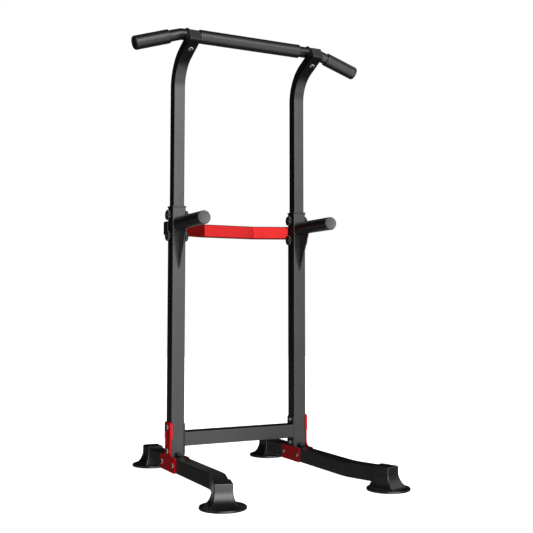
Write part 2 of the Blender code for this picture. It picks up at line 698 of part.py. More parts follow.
back = sweep("back_bar", back_path(), BACK_D, BACK_H, r=0.005)
back.location.z = BACK_Z
bore = sweep("back_bar_bore", back_path(0.02), BACK_D - 2 * WALL, BACK_H - 2 * WALL, CUTTERS, 0.003)
bore.location.z = BACK_Z
cut(back, bore)
for side, s in SIDES:
    cut(back, rod_cutter(side + "_back_bar_hole", (s * BACK_BOLT_X, yy(near), BACK_Z),
                         Y_AXIS, HOLE_R, 0.07))
finish(back, "red_coat")
for side, s in SIDES:
    name = side + "_back_bar_cap"
    cap = block(name, (0.0030, BACK_D, BACK_H),
                (s * (OUTER_X + GAP + 0.0015), yy(near), BACK_Z))
    plug = block(name + "_plug", (0.0080, BACK_D - 2 * WALL - 0.003, BACK_H - 2 * WALL - 0.003),
                 (s * (OUTER_X - 0.0030), yy(near), BACK_Z), CUTTERS)
    finish(add(cap, plug), "black_plastic")
    bolt(side + "_back_bar_bolt", BACK_NEAR + BACK_D + GAP, LOWER / 2 - 0.0035,
         (s * BACK_BOLT_X, UPRIGHT_Y, BACK_Z), Y_AXIS, 0.0105, 0.0062, 0, 0, "zinc")


# ----------------------------------------------------- locking knobs and nuts
def lobed(radius, dip, lobes, per):
    pts = []
    for i in range(lobes * per):
        a = 2 * math.pi * i / (lobes * per)
        pts.append(((radius - dip * (0.5 - 0.5 * math.cos(lobes * a))) * math.cos(a),
                    (radius - dip * (0.5 - 0.5 * math.cos(lobes * a))) * math.sin(a)))
    return pts


for side, s in SIDES:
    for level, z in KNOB_Z.items():
        for tag, sign, face in (("knob", s, OUTER_X), ("lock_nut", -s, INNER_X)):
            name = "%s_%s_%s" % (side, level, tag)
            root = Vector((s * face, UPRIGHT_Y, z)) + Vector((sign * GAP, 0, 0))
            stem = 0.0046 + GAP
            core = turned(name, [(0, 0.0205), (0.0110, 0.0205), (0.0150, 0.0030),
                                 (0.0150, 0), (BOLT_R, 0), (BOLT_R, -stem), (0, -stem)],
                          root, (sign, 0, 0), 8)
            lobes = slab(name + "_lobes", [lobed(KNOB_R, 0.0030, 12, 2)], 0.0140, CUTTERS)
            aim(lobes, root + Vector((sign * 0.0110, 0, 0)), (sign, 0, 0))
            finish(add(core, curve_to_mesh(lobes, CUTTERS)), "black_plastic")
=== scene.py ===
"""Looks for the power tower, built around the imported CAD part."""
import math

import bmesh
import bpy
from mathutils import Matrix, Vector, noise


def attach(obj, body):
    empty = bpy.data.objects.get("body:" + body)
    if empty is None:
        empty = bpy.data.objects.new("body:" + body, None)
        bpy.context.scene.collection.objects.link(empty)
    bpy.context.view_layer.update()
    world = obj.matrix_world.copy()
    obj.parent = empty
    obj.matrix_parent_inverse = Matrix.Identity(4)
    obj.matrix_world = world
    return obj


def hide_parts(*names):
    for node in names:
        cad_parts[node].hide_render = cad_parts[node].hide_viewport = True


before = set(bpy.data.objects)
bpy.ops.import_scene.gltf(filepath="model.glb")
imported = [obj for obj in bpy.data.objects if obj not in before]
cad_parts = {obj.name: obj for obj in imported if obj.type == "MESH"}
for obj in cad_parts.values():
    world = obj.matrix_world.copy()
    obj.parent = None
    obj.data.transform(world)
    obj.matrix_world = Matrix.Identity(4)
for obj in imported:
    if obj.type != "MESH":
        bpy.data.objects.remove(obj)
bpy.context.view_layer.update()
scene = bpy.context.scene

# ------------------------------------------------------------------ sizes, m
UX, UY = 0.296, 0.1735           # uprights
LOWER, UPPER = 0.060, 0.050
WALL = 0.002
RAIL_Z = 0.0577
FOOT_REAR, FOOT_FRONT = 0.2975, -0.6445
SPLAY = math.radians(18.0)
RAIL_BEND, RAIL_R, RAIL_REAR = -0.425, 0.200, 0.3172
LOWER_TOP, RIM_TOP, BUSH_LOW = 1.1515, 1.1580, 1.0730
UPPER_LOW, BEND_R, BEND_A, TIP_L = 0.730, 0.150, math.radians(64.7), 0.1207
BAR_Y, BAR_Z, BAR_R, BAR_BX = -0.121, 1.8835, 0.0244, 0.330
SEAT = UPPER / 2 + BAR_R + 0.0003
BEND_Z = (BAR_Z - SEAT * math.sin(BEND_A) - BEND_R * math.sin(BEND_A)
          - (SEAT * math.cos(BEND_A) - BAR_Y - BEND_R * (1 - math.cos(BEND_A))) / math.tan(BEND_A))
DROOP, GRIP_L = math.radians(18.2), 0.2186
DIP_Z, DIP_R, DIP_END = 1.0825, 0.0243, -0.3150
BACK_H, BACK_D, BACK_Z = 0.0573, 0.0450, 1.06585
BACK_NEAR, BACK_FAR, BACK_X1, BACK_X2 = 0.0304, 0.0979, 0.1306, 0.2876
CROSS_Z = 0.1595
THROUGH_Z = (0.2090, 0.1085)
KNOB_Z = {"upper": 1.118, "lower": 1.028}
OUT_X, IN_X = UX + LOWER / 2, UX - LOWER / 2
GAP = 0.0003
SIDES = (("left", -1.0), ("right", 1.0))


def yy(y):
    return UY + y


# ----------------------------------------------------------------- materials
class Nodes:
    """A small helper round one material's node tree."""

    def __init__(self, name, colour, rough, metal=0.0, **more):
        self.mat = bpy.data.materials.new(name)
        self.mat.use_nodes = True
        self.t = self.mat.node_tree
        self.b = self.t.nodes["Principled BSDF"]
        self.b.inputs["Base Color"].default_value = (*colour, 1)
        self.b.inputs["Roughness"].default_value = rough
        self.b.inputs["Metallic"].default_value = metal
        for k, v in more.items():
            self.b.inputs[k.replace("_", " ")].default_value = v
        self.co = self.t.nodes.new("ShaderNodeTexCoord").outputs["Object"]

    def add(self, kind, **props):
        n = self.t.nodes.new(kind)
        for k, v in props.items():
            setattr(n, k, v)
        return n

    def noise(self, scale, detail=3.0, rough=0.5, stretch=None):
        n = self.add("ShaderNodeTexNoise")
        n.inputs["Scale"].default_value = scale
        n.inputs["Detail"].default_value = detail
        n.inputs["Roughness"].default_value = rough
        self.t.links.new(self.place(stretch), n.inputs["Vector"])
        return n.outputs["Fac"]

    def cells(self, scale, feature="F1", stretch=None):
        n = self.add("ShaderNodeTexVoronoi", feature=feature)
        n.inputs["Scale"].default_value = scale
        self.t.links.new(self.place(stretch), n.inputs["Vector"])
        return n.outputs["Distance"]

    def place(self, stretch):
        if stretch is None:
            return self.co
        m = self.add("ShaderNodeMapping")
        m.inputs["Scale"].default_value = stretch
        self.t.links.new(self.co, m.inputs["Vector"])
        return m.outputs["Vector"]

    def ramp(self, fac, stops):
        r = self.add("ShaderNodeValToRGB")
        el = r.color_ramp.elements
        while len(el) < len(stops):
            el.new(0.5)
        for e, (pos, c) in zip(el, stops):
            e.position = pos
            e.color = (*c, 1) if len(c) == 3 else c
        self.t.links.new(fac, r.inputs["Fac"])
        return r.outputs["Color"]

    def span(self, fac, low, high, a=0.3, b=0.7):
        m = self.add("ShaderNodeMapRange")
        m.inputs["From Min"].default_value = a
        m.inputs["From Max"].default_value = b
        m.inputs["To Min"].default_value = low
        m.inputs["To Max"].default_value = high
        self.t.links.new(fac, m.inputs["Value"])
        return m.outputs["Result"]

    def colour(self, out):
        self.t.links.new(out, self.b.inputs["Base Color"])

    def rough(self, out):
        self.t.links.new(out, self.b.inputs["Roughness"])

    def bump(self, out, strength, dist, after=None):
        n = self.add("ShaderNodeBump")
        n.inputs["Strength"].default_value = strength
        n.inputs["Distance"].default_value = dist
        self.t.links.new(out, n.inputs["Height"])
        if after is not None:
            self.t.links.new(after, n.inputs["Normal"])
        self.t.links.new(n.outputs["Normal"], self.b.inputs["Normal"])
        return n.outputs["Normal"]


def grey(v):
    return (v, v, v * 1.03)


def coat_material(name, dark, light, lo, hi, peel=0.10):
    """Powder coat: a little tone variation, orange peel and fine grain."""
    m = Nodes(name, light, (lo + hi) / 2)
    m.colour(m.ramp(m.noise(9.0, 4.0), [(0.30, dark), (0.72, light)]))
    m.rough(m.span(m.noise(38.0, 4.0), lo, hi))
    n = m.bump(m.noise(420.0, 2.0), peel, 0.00012)
    m.bump(m.noise(2600.0, 2.0), peel * 0.6, 0.00004, n)
    return m.mat


BLACK = coat_material("black_powder_coat", grey(0.0045), grey(0.0070), 0.29, 0.35)
RED = coat_material("red_gloss_coat", (0.255, 0.0060, 0.0062), (0.285, 0.0075, 0.0075), 0.27, 0.32, 0.06)
RED_PLATE = coat_material("red_bracket_coat", (0.36, 0.0035, 0.006), (0.46, 0.006, 0.009), 0.27, 0.36, 0.14)
for m_, metal, tint in ((RED, 0.75, 0.45), (RED_PLATE, 0.30, 0.10)):
    b_ = m_.node_tree.nodes["Principled BSDF"]
    b_.inputs["Metallic"].default_value = metal
    b_.inputs["Specular Tint"].default_value = (1.0, tint, tint, 1.0)


def foam_material():
    m = Nodes("closed_cell_foam", grey(0.006), 0.36)
    m.colour(m.ramp(m.noise(60.0, 5.0), [(0.25, grey(0.004)), (0.8, grey(0.007))]))
    m.rough(m.span(m.noise(300.0, 3.0), 0.31, 0.41))
    n = m.bump(m.cells(900.0), 0.22, 0.00022)
    m.bump(m.noise(75.0, 4.0), 0.16, 0.00045, n)
    return m.mat


def rubber_material():
    m = Nodes("moulded_rubber", grey(0.011), 0.36)
    m.colour(m.ramp(m.noise(22.0, 4.0), [(0.3, grey(0.005)), (0.75, grey(0.008))]))
    m.rough(m.span(m.noise(70.0, 5.0), 0.24, 0.31))
    n = m.bump(m.noise(1500.0, 2.0), 0.16, 0.00008)
    m.bump(m.noise(26.0, 2.0), 0.10, 0.0006, n)
    return m.mat


def plastic_material(name, dark, light, lo, hi, grain, depth):
    m = Nodes(name, light, (lo + hi) / 2)
    m.colour(m.ramp(m.noise(30.0, 4.0), [(0.3, dark), (0.75, light)]))
    m.rough(m.span(m.noise(90.0, 4.0), lo, hi))
    m.bump(m.cells(grain), 0.3, depth)
    return m.mat


FOAM = foam_material()
RUBBER = rubber_material()
TIP = plastic_material("dark_grey_plastic", grey(0.009), grey(0.013), 0.42, 0.52, 1200.0, 0.00010)
PLASTIC = plastic_material("black_moulded_plastic", grey(0.005), grey(0.008), 0.28, 0.38, 1500.0, 0.00006)
GREY = plastic_material("grey_textured_plastic", grey(0.040), grey(0.056), 0.46, 0.60, 1100.0, 0.00016)


def metal_material(name, dark, light, lo, hi):
    m = Nodes(name, light, (lo + hi) / 2, 1.0)
    m.colour(m.ramp(m.noise(160.0, 5.0), [(0.3, dark), (0.7, light)]))
    m.rough(m.span(m.noise(500.0, 4.0), lo, hi))
    m.bump(m.noise(1400.0, 2.0), 0.10, 0.00005)
    return m.mat


ZINC = metal_material("zinc_plate", (0.58, 0.59, 0.60), (0.72, 0.72, 0.73), 0.26, 0.38)
KNOB = plastic_material("gloss_black_plastic", grey(0.004), grey(0.006), 0.16, 0.24, 1500.0, 0.00003)
for node in ZINC.node_tree.nodes:
    if node.type == "BSDF_PRINCIPLED":
        node.inputs["Metallic"].default_value = 0.40
DARK_STEEL = metal_material("black_oxide_steel", grey(0.030), grey(0.055), 0.26, 0.38)
NUT = metal_material("dull_zinc_nut", (0.17, 0.18, 0.175), (0.25, 0.26, 0.255), 0.40, 0.52)


# -------------------------------------------------------------- mesh helpers
def finish_mesh(name, bm, mat, angle=38.0, weighted=False):
    bmesh.ops.recalc_face_normals(bm, faces=bm.faces)
    me = bpy.data.meshes.new(name)
    bm.to_mesh(me)
    bm.free()
    me.materials.append(mat)
    me.shade_smooth()
    me.set_sharp_from_angle(angle=math.radians(angle))
    ob = bpy.data.objects.new(name, me)
    scene.collection.objects.link(ob)
    if weighted:
        w = ob.modifiers.new("even_shading", "WEIGHTED_NORMAL")
        w.keep_sharp = True
    return ob


def loft_bm(rings, cyclic=False, bm=None):
    """Quads between rings of equally many points; closed ends unless cyclic."""
    bm = bm or bmesh.new()
    rows = [[bm.verts.new(p) for p in r] for r in rings]
    n = len(rows[0])
    pairs = list(zip(rows, rows[1:]))
    if cyclic:
        pairs.append((rows[-1], rows[0]))
    for a, b in pairs:
        for i in range(n):
            j = (i + 1) % n
            bm.faces.new((a[i], a[j], b[j], b[i]))
    if not cyclic:
        bm.faces.new(rows[0][::-1])
        bm.faces.new(rows[-1])
    return bm


def loft(name, rings, mat, cyclic=False, angle=38.0, weighted=False):
    return finish_mesh(name, loft_bm(rings, cyclic), mat, angle, weighted)


def outline(w, h, r, seg=5):
    """Rounded rectangle, anticlockwise, in a plane."""
    pts = []
    for cx, cy, a0 in ((w / 2 - r, h / 2 - r, 0), (-w / 2 + r, h / 2 - r, 90),
                       (-w / 2 + r, -h / 2 + r, 180), (w / 2 - r, -h / 2 + r, 270)):
        for i in range(seg + 1):
            a = math.radians(a0 + 90 * i / seg)
            pts.append((cx + r * math.cos(a), cy + r * math.sin(a)))
    return pts


def circle(r, n=48, off=0.0):
    return [(r * math.cos(2 * math.pi * (i + off) / n), r * math.sin(2 * math.pi * (i + off) / n))
            for i in range(n)]


def lay(pts, at, u, v):
    """Plane points put at a place, on two axes."""
    return [at + u * x + v * y for x, y in pts]


def stations(path, binormal, ease=0.0008):
    """(place, side axis, tangent, inset) along a path; eased at both ends."""
    path = [Vector(p) for p in path]
    b = Vector(binormal)
    out = []
    for i, p in enumerate(path):
        t0 = (p - path[i - 1]).normalized() if i else None
        t1 = (path[i + 1] - p).normalized() if i + 1 < len(path) else None
        t = ((t0 or t1) + (t1 or t0)).normalized()
        miter = 1.0 / max(0.5, t.dot(t1 or t0))
        side = b.cross(t).normalized()
        out.append((p, side, t, miter))
    if ease:
        p0, s0, t0, _ = out[0]
        p1, s1, t1, _ = out[-1]
        out = ([(p0, s0, t0, 1.0), (p0 + t0 * ease, s0, t0, 1.0)] + out[1:-1]
               + [(p1 - t1 * ease, s1, t1, 1.0), (p1, s1, t1, 1.0)])
    return out


def square_tube(name, path, binormal, w, h, mat, r=0.0038, wall=WALL, ease=0.0008):
    """A hollow rounded square tube along a planar path; w lies across the path
    in its plane, h along binormal."""
    b = Vector(binormal)
    st = stations(path, binormal, ease)
    last = len(st) - 1
    outer, inner = [], []
    for i, (p, s, t, m) in enumerate(st):
        cut = ease if ease and i in (0, last) else 0.0
        outer.append(lay([(x * m, y) for x, y in outline(w - 2 * cut, h - 2 * cut, r)], p, s, b))
        inner.append(lay([(x * m, y) for x, y in
                          outline(w - 2 * wall, h - 2 * wall, max(r - wall, 0.0012))], p, s, b))
    return loft(name, outer + inner[::-1], mat, cyclic=True, weighted=True)


def round_tube(name, path, binormal, radius, mat, wall=WALL, n=48):
    b = Vector(binormal)
    st = stations(path, binormal, 0.0006)
    last = len(st) - 1
    outer, inner = [], []
    for i, (p, s, t, m) in enumerate(st):
        cut = 0.0006 if i in (0, last) else 0.0
        outer.append(lay([(x * m, y) for x, y in circle(radius - cut, n)], p, s, b))
        inner.append(lay([(x * m, y) for x, y in circle(radius - wall, n)], p, s, b))
    return loft(name, outer + inner[::-1], mat, cyclic=True)


def axes_for(axis):
    t = Vector(axis).normalized()
    u = t.orthogonal().normalized() if abs(t.z) > 0.9 else Vector((0, 0, 1)).cross(t).normalized()
    return t, u, t.cross(u)


def turned(name, profile, at, axis, mat, n=48, cyclic=False, angle=38.0):
    """Circles of (height, radius) along axis; the ends are filled."""
    t, u, v = axes_for(axis)
    at = Vector(at)
    rings = [lay(circle(r, n), at + t * h, u, v) for h, r in profile]
    return loft(name, rings, mat, cyclic, angle)


def arc(cx, cy, r, a0, a1, n):
    return [(cx + r * math.cos(a0 + (a1 - a0) * i / n),
             cy + r * math.sin(a0 + (a1 - a0) * i / n)) for i in range(n + 1)]


def fillet(points, radius, n=8):
    out = [points[0]]
    for a, b, c in zip(points, points[1:], points[2:]):
        a, b, c = Vector(a), Vector(b), Vector(c)
        u, v = (a - b).normalized(), (c - b).normalized()
        half = u.angle(v) / 2
        t = radius / math.tan(half)
        centre = b + (u + v).normalized() * (radius / math.sin(half))
        p0, p1 = b + u * t - centre, b + v * t - centre
        ang = math.atan2(p0.x * p1.y - p0.y * p1.x, p0.dot(p1))
        for i in range(n + 1):
            w = ang * i / n
            out.append((centre.x + p0.x * math.cos(w) - p0.y * math.sin(w),
                        centre.y + p0.x * math.sin(w) + p0.y * math.cos(w)))
    out.append(points[-1])
    return out


def cutter(name, profile, at, axis, n=24):
    ob = turned(name, profile, at, axis, BLACK, n)
    return ob


def box_bm(size, m, bevel=0.0, seg=3):
    bm = bmesh.new()
    bmesh.ops.create_cube(bm, size=1.0)
    bmesh.ops.scale(bm, vec=size, verts=bm.verts)
    if bevel:
        bmesh.ops.bevel(bm, geom=bm.edges[:], offset=bevel, segments=seg, affect="EDGES",
                        profile=0.5)
    bmesh.ops.transform(bm, matrix=m, verts=bm.verts)
    return bm


def rounded_box(name, size, at, mat, bevel, seg=3, turn=None):
    m = Matrix.Translation(at) @ (turn or Matrix.Identity(4))
    return finish_mesh(name, box_bm(size, m, bevel, seg), mat, weighted=True)


def boolean(ob, tools, op="DIFFERENCE"):
    """Apply booleans and drop the tools."""
    mods = [m for m in ob.modifiers]
    for m in mods:
        ob.modifiers.remove(m)
    for t in tools:
        md = ob.modifiers.new("b", "BOOLEAN")
        md.operation = op
        md.solver = "EXACT"
        md.object = t
    bpy.context.view_layer.update()
    me = bpy.data.meshes.new_from_object(ob.evaluated_get(bpy.context.evaluated_depsgraph_get()))
    old = ob.data
    ob.modifiers.clear()
    ob.data = me
    bpy.data.meshes.remove(old)
    for t in tools:
        bpy.data.objects.remove(t, do_unlink=True)
    mat = me.materials[0]
    me.materials.clear()
    me.materials.append(mat)
    for p in me.polygons:
        p.material_index = 0
    me.shade_smooth()
    me.set_sharp_from_angle(angle=math.radians(35))
    w = ob.modifiers.new("even_shading", "WEIGHTED_NORMAL")
    w.keep_sharp = True
    return ob


def join(obs, name):
    """Several meshes as one object, each keeping its own materials."""
    bm = bmesh.new()
    mats = []
    for o in obs:
        me = o.data
        base = len(bm.verts)
        idx = len(mats)
        mats.extend(me.materials)
        part = bmesh.new()
        part.from_mesh(me)
        bmesh.ops.transform(part, matrix=o.matrix_world, verts=part.verts)
        vs = [bm.verts.new(v.co) for v in part.verts]
        for f in part.faces:
            nf = bm.faces.new([vs[v.index] for v in f.verts])
            nf.material_index = idx + f.material_index
            nf.smooth = True
        part.free()
    me = bpy.data.meshes.new(name)
    bm.to_mesh(me)
    bm.free()
    for m in mats:
        me.materials.append(m)
    me.shade_smooth()
    me.set_sharp_from_angle(angle=math.radians(35))
    for o in obs:
        bpy.data.objects.remove(o, do_unlink=True)
    ob = bpy.data.objects.new(name, me)
    scene.collection.objects.link(ob)
    w = ob.modifiers.new("even_shading", "WEIGHTED_NORMAL")
    w.keep_sharp = True
    return ob


def fixed(ob, slot, *nodes, body="base_frame"):
    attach(ob, body)
    if nodes:
        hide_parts(*nodes)
    return ob


def lifted(ob, slot, *nodes):
    return fixed(ob, slot, *nodes, body="upper_frame")


X, Y, Z = Vector((1, 0, 0)), Vector((0, 1, 0)), Vector((0, 0, 1))


# -------------------------------------------------------- hollow frame tubes
def subdivide(a, b, n):
    a, b = Vector(a), Vector(b)
    return [a.lerp(b, i / n) for i in range(n + 1)]


BEND_X = UX + RAIL_R * (1 - math.cos(SPLAY))
BEND_Y = RAIL_BEND - RAIL_R * math.sin(SPLAY)
REACH = (BEND_Y - FOOT_FRONT) / math.cos(SPLAY)
FOOT_X = BEND_X + REACH * math.sin(SPLAY)
IN_SHOE = 0.0250 - 0.0053

for side, s in SIDES:
    pts = [(s * UX, yy(RAIL_REAR), RAIL_Z)]
    for i in range(15):
        a = SPLAY * i / 14
        pts.append((s * (UX + RAIL_R * (1 - math.cos(a))), yy(RAIL_BEND - RAIL_R * math.sin(a)), RAIL_Z))
    length = REACH + IN_SHOE
    pts.append((s * (BEND_X + length * math.sin(SPLAY)), yy(BEND_Y - length * math.cos(SPLAY)), RAIL_Z))
    rail = square_tube(side + "_floor_rail", pts, Z, LOWER, LOWER, BLACK)
    fixed(rail, "black_coat", side + "_base_rail")

    low = RAIL_Z + LOWER / 2 + GAP
    tube = square_tube(side + "_lower_tube", [(s * UX, UY, low), (s * UX, UY, LOWER_TOP)],
                       Y, LOWER, LOWER, BLACK)
    fixed(tube, "black_coat", side + "_lower_upright")


# weld beads ------------------------------------------------------------------
def bead(name, points, closed, r, seed):
    """A weld bead of overlapping ripples along points."""
    pts = [Vector(p) for p in points]
    if closed:
        pts.append(pts[0])
    rows, n = [], 8
    dense = []
    for a, b in zip(pts, pts[1:]):
        k = max(1, int((b - a).length / 0.0011))
        dense += [a.lerp(b, i / k) for i in range(k)]
    if not closed:
        dense.append(pts[-1])
    m = len(dense)
    for i, p in enumerate(dense):
        if closed:
            t = (dense[(i + 1) % m] - dense[i - 1]).normalized()
        else:
            t = (dense[min(i + 1, m - 1)] - dense[max(i - 1, 0)]).normalized()
        u = (Z if abs(t.z) < 0.8 else X).cross(t).normalized()
        v = t.cross(u)
        rr = r * (1.0 + 0.13 * math.sin(i * 1.9 + seed) + 0.08 * noise.noise(p * 400 + Vector((seed, 0, 0))))
        if not closed and i in (0, m - 1):
            rr *= 0.5
        rows.append(lay(circle(rr, n), p, u, v))
    return loft(name, rows, BLACK, cyclic=closed, angle=60)


# crossbar with its end plates -------------------------------------------------
PLATE_T = 0.004
half = IN_X - GAP
bar_tube = square_tube("cross_tube", [(-half + PLATE_T, UY, CROSS_Z), (half - PLATE_T, UY, CROSS_Z)],
                       Z, LOWER, LOWER, BLACK, ease=0.0)
parts = [bar_tube]
for side, s in SIDES:
    x1, x0 = s * half, s * (half - PLATE_T)
    zc = sum(THROUGH_Z) / 2
    rings = []
    for x, cut in ((x0, 0.0006), (x0 + s * 0.0006, 0), (x1 - s * 0.0006, 0), (x1, 0.0006)):
        rings.append(lay(outline(0.058 - 2 * cut, 0.1340 - 2 * cut, 0.008 - cut, 6),
                         Vector((x, UY, zc)), Y, Z))
    parts.append(loft(side + "_cross_plate", rings, BLACK))
    ring = lay(outline(LOWER + 0.0006, LOWER + 0.0006, 0.0046, 4), Vector((x0 - s * 0.0004, UY, CROSS_Z)), Y, Z)
    ring = [p for p in ring if abs(p.y - UY) < 0.0284] or ring
    top = [p for p in ring if p.z > CROSS_Z]
    parts.append(bead(side + "_weld_top", sorted(top, key=lambda p: p.y), False, 0.0014, 1.0))
    low = [p for p in ring if p.z < CROSS_Z]
    parts.append(bead(side + "_weld_low", sorted(low, key=lambda p: p.y), False, 0.0014, 2.0))
fixed(join(parts, "cross_bar"), "black_coat", "lower_crossbar")


# upper tubes --------------------------------------------------------------------
for side, s in SIDES:
    pts = [(s * UX, UY, UPPER_LOW)]
    for i in range(25):
        a = BEND_A * i / 24
        pts.append((s * UX, yy(-BEND_R * (1 - math.cos(a))), BEND_Z + BEND_R * math.sin(a)))
    x, y, z = pts[-1]
    tip_dir = Vector((0, -math.sin(BEND_A), math.cos(BEND_A)))
    tip = Vector(pts[-1]) + tip_dir * TIP_L
    pts.append(tuple(tip))
    mast = square_tube(side + "_mast", pts, X, UPPER, UPPER, BLACK)
    holes = [cutter("h", [(-0.03, 0.0046), (0.03, 0.0046)], (s * UX, UY, KNOB_Z["upper"] - 0.090 * k), X)
             for k in range(5)]
    boolean(mast, holes)
    lifted(mast, "black_coat", side + "_upper_upright")

    # square cap on the bent end
    fr = tip_dir.to_track_quat("Z", "Y").to_matrix()
    u, v = fr @ X, fr @ Y
    rings = []
    for h, w in ((-0.0130, 0.0440), (GAP, 0.0440), (GAP, UPPER - 0.0006), (GAP + 0.0006, UPPER),
                 (0.0030, UPPER), (0.0042, UPPER - 0.0012), (GAP + 0.0045, UPPER - 0.0034)):
        rings.append(lay(outline(w, w, 0.0045 if w > 0.046 else 0.003), tip + tip_dir * h, u, v))
    cap = loft(side + "_end_cap", rings, TIP, weighted=True)
    lifted(cap, "grey_plastic", side + "_tip_cap")


# collars where the upper tube enters the lower one ------------------------------
for side, s in SIDES:
    at = Vector((s * UX, UY, 0))
    def flat(w, r, z):
        return lay(outline(w, w, r), at + Z * z, X, Y)
    i_w = UPPER + 2 * GAP
    rim_z = LOWER_TOP + GAP
    rings = [flat(0.0554, 0.002, BUSH_LOW), flat(0.0554, 0.002, rim_z), flat(0.0640, 0.0045, rim_z),
             flat(0.0652, 0.005, rim_z + 0.0008), flat(0.0655, 0.005, rim_z + 0.0030),
             flat(0.0645, 0.005, RIM_TOP - 0.0010), flat(0.0620, 0.005, RIM_TOP),
             flat(i_w + 0.0030, 0.0045, RIM_TOP), flat(i_w + 0.0006, 0.0045, RIM_TOP - 0.0012),
             flat(i_w, 0.0045, RIM_TOP - 0.0030), flat(i_w, 0.0045, BUSH_LOW)]
    collar = loft(side + "_collar", rings, PLASTIC, cyclic=True, weighted=True)
    hole = [cutter("h", [(-0.04, 0.0046), (0.04, 0.0046)], at + Z * KNOB_Z["upper"], X)]
    boolean(collar, hole)
    fixed(collar, "black_plastic", side + "_guide_bushing")


# ------------------------------------------------------------------ pull-up bar
grip_cap = 0.0035
length = GRIP_L - grip_cap - GAP
dx, dz = length * math.cos(DROOP), -length * math.sin(DROOP)
flat_path = fillet([(-BAR_BX - dx, dz), (-BAR_BX, 0.0), (BAR_BX, 0.0), (BAR_BX + dx, dz)], 0.060, 12)
bar_pts = [(x, yy(BAR_Y), BAR_Z + z) for x, z in flat_path]
bar = round_tube("pull_up_tube", bar_pts, -Y, BAR_R, BLACK, n=56)
lifted(bar, "black_coat", "pull_up_bar")


def foam_tube(name, at, axis, length, inner, outer, seed, n=64, step=0.005):
    """A foam sleeve: soft rounded ends and a slightly uneven skin."""
    t, u, v = axes_for(axis)
    at = Vector(at)
    e = 0.0022
    prof = [(0.0, outer - e)]
    prof += [(e - e * math.cos(a), outer - e + e * math.sin(a))
             for a in (math.radians(22.5), math.radians(45), math.radians(67.5))]
    k = int((length - 2 * e) / step)
    prof += [(e + (length - 2 * e) * i / k, outer) for i in range(k + 1)]
    prof += [(length - e + e * math.sin(a), outer - e + e * math.cos(a))
             for a in (math.radians(22.5), math.radians(45), math.radians(67.5))]
    prof += [(length, outer - e), (length, inner), (0.0, inner)]
    rings = []
    for h, r in prof:
        ring = []
        for i in range(n):
            a = 2 * math.pi * i / n
            rr = r
            if r > inner + 0.0012:
                p = Vector((h * 26, math.cos(a) * 0.9, math.sin(a) * 0.9))
                rr = r - 0.00022 * (1 + noise.noise(p + Vector((seed, seed * 2, 0))))
            ring.append(at + t * h + u * (rr * math.cos(a)) + v * (rr * math.sin(a)))
        rings.append(ring)
    return loft(name, rings, FOAM, cyclic=True)


foam = foam_tube("centre_foam", (-0.247, yy(BAR_Y), BAR_Z), X, 0.487, 0.0250, 0.0300, 3.1)
lifted(foam, "foam", "centre_bar_foam")

FOAM_FROM = (0.385 - BAR_BX) / math.cos(DROOP)
for side, s in SIDES:
    bend = Vector((s * BAR_BX, yy(BAR_Y), BAR_Z))
    d = Vector((s * math.cos(DROOP), 0, -math.sin(DROOP)))
    foam = foam_tube(side + "_hand_grip", bend + d * FOAM_FROM, d,
                     GRIP_L - grip_cap - GAP - FOAM_FROM, 0.0250, 0.0300, 5.0 + s)
    lifted(foam, "foam", side + "_grip_foam")
    end = bend + d * GRIP_L
    cap = turned(side + "_hand_cap", [(-grip_cap - 0.0140, 0.0206), (-grip_cap - 0.0130, 0.0216),
                                      (-grip_cap, 0.0218), (-grip_cap, 0.0262), (-grip_cap + 0.0008, 0.0272),
                                      (-0.0014, 0.0275), (-0.0004, 0.0268), (0.0, 0.0255),
                                      (-0.0003, 0.0225), (-0.0008, 0.0215), (-0.0008, 0.0050)],
                 end, d, PLASTIC, 64)
    lifted(cap, "black_plastic", side + "_grip_cap")


# --------------------------------------------------------------------- fixings
def hexagon(r, n=48):
    """A hexagon of across-corners radius r, as n points."""
    pts = []
    for i in range(n):
        a = 2 * math.pi * i / n
        k = (a + math.pi / 6) % (math.pi / 3) - math.pi / 6
        rr = r * math.cos(math.pi / 6) / math.cos(k)
        pts.append((rr * math.cos(a), rr * math.sin(a)))
    return pts


def rings_for(prof, at, axis, n=48):
    """Rings of (height, radius, shape) where shape is o for round or x for hex."""
    t, u, v = axes_for(axis)
    at = Vector(at)
    return [lay(circle(r, n) if k == "o" else hexagon(r, n), at + t * h, u, v) for h, r, k in prof]


WASHER = 0.0016


def washer_disc(name, at, axis, r, mat, thick=WASHER, hole=0.0046):
    """A flat washer standing on at."""
    w = thick
    prof = [(0.0, hole, "o"), (0.0, r * 0.97, "o"), (w * 0.25, r, "o"), (w * 0.75, r, "o"), (w, r * 0.97, "o"),
            (w, hole, "o")]
    return loft(name, rings_for(prof, at, axis), mat, cyclic=True, angle=30)


def button_bolt(name, at, axis, grip, head_r, head_h, mat, washer_mat):
    """A washer at, a domed socket head on it and a shank running grip below."""
    r, w, top = head_r * 0.64, WASHER, head_h
    prof = [(-grip, 0.0033, "o"), (-grip + 0.0009, 0.0041, "o"), (w, 0.0041, "o"),
            (w, r * 0.96, "o"), (w + 0.0005, r, "o"), (w + (top - w) * 0.32, r * 0.985, "o"),
            (w + (top - w) * 0.58, r * 0.90, "o"), (w + (top - w) * 0.80, r * 0.77, "o"),
            (w + (top - w) * 0.94, r * 0.65, "o"), (top, r * 0.58, "o"),
            (top, 0.0037, "x"), (top - 0.0005, 0.0033, "x"), (top - 0.0030, 0.0033, "x")]
    head = loft(name + "_head", rings_for(prof, at, axis), mat, angle=30)
    return join([head, washer_disc(name + "_washer", at, axis, head_r, washer_mat)], name)


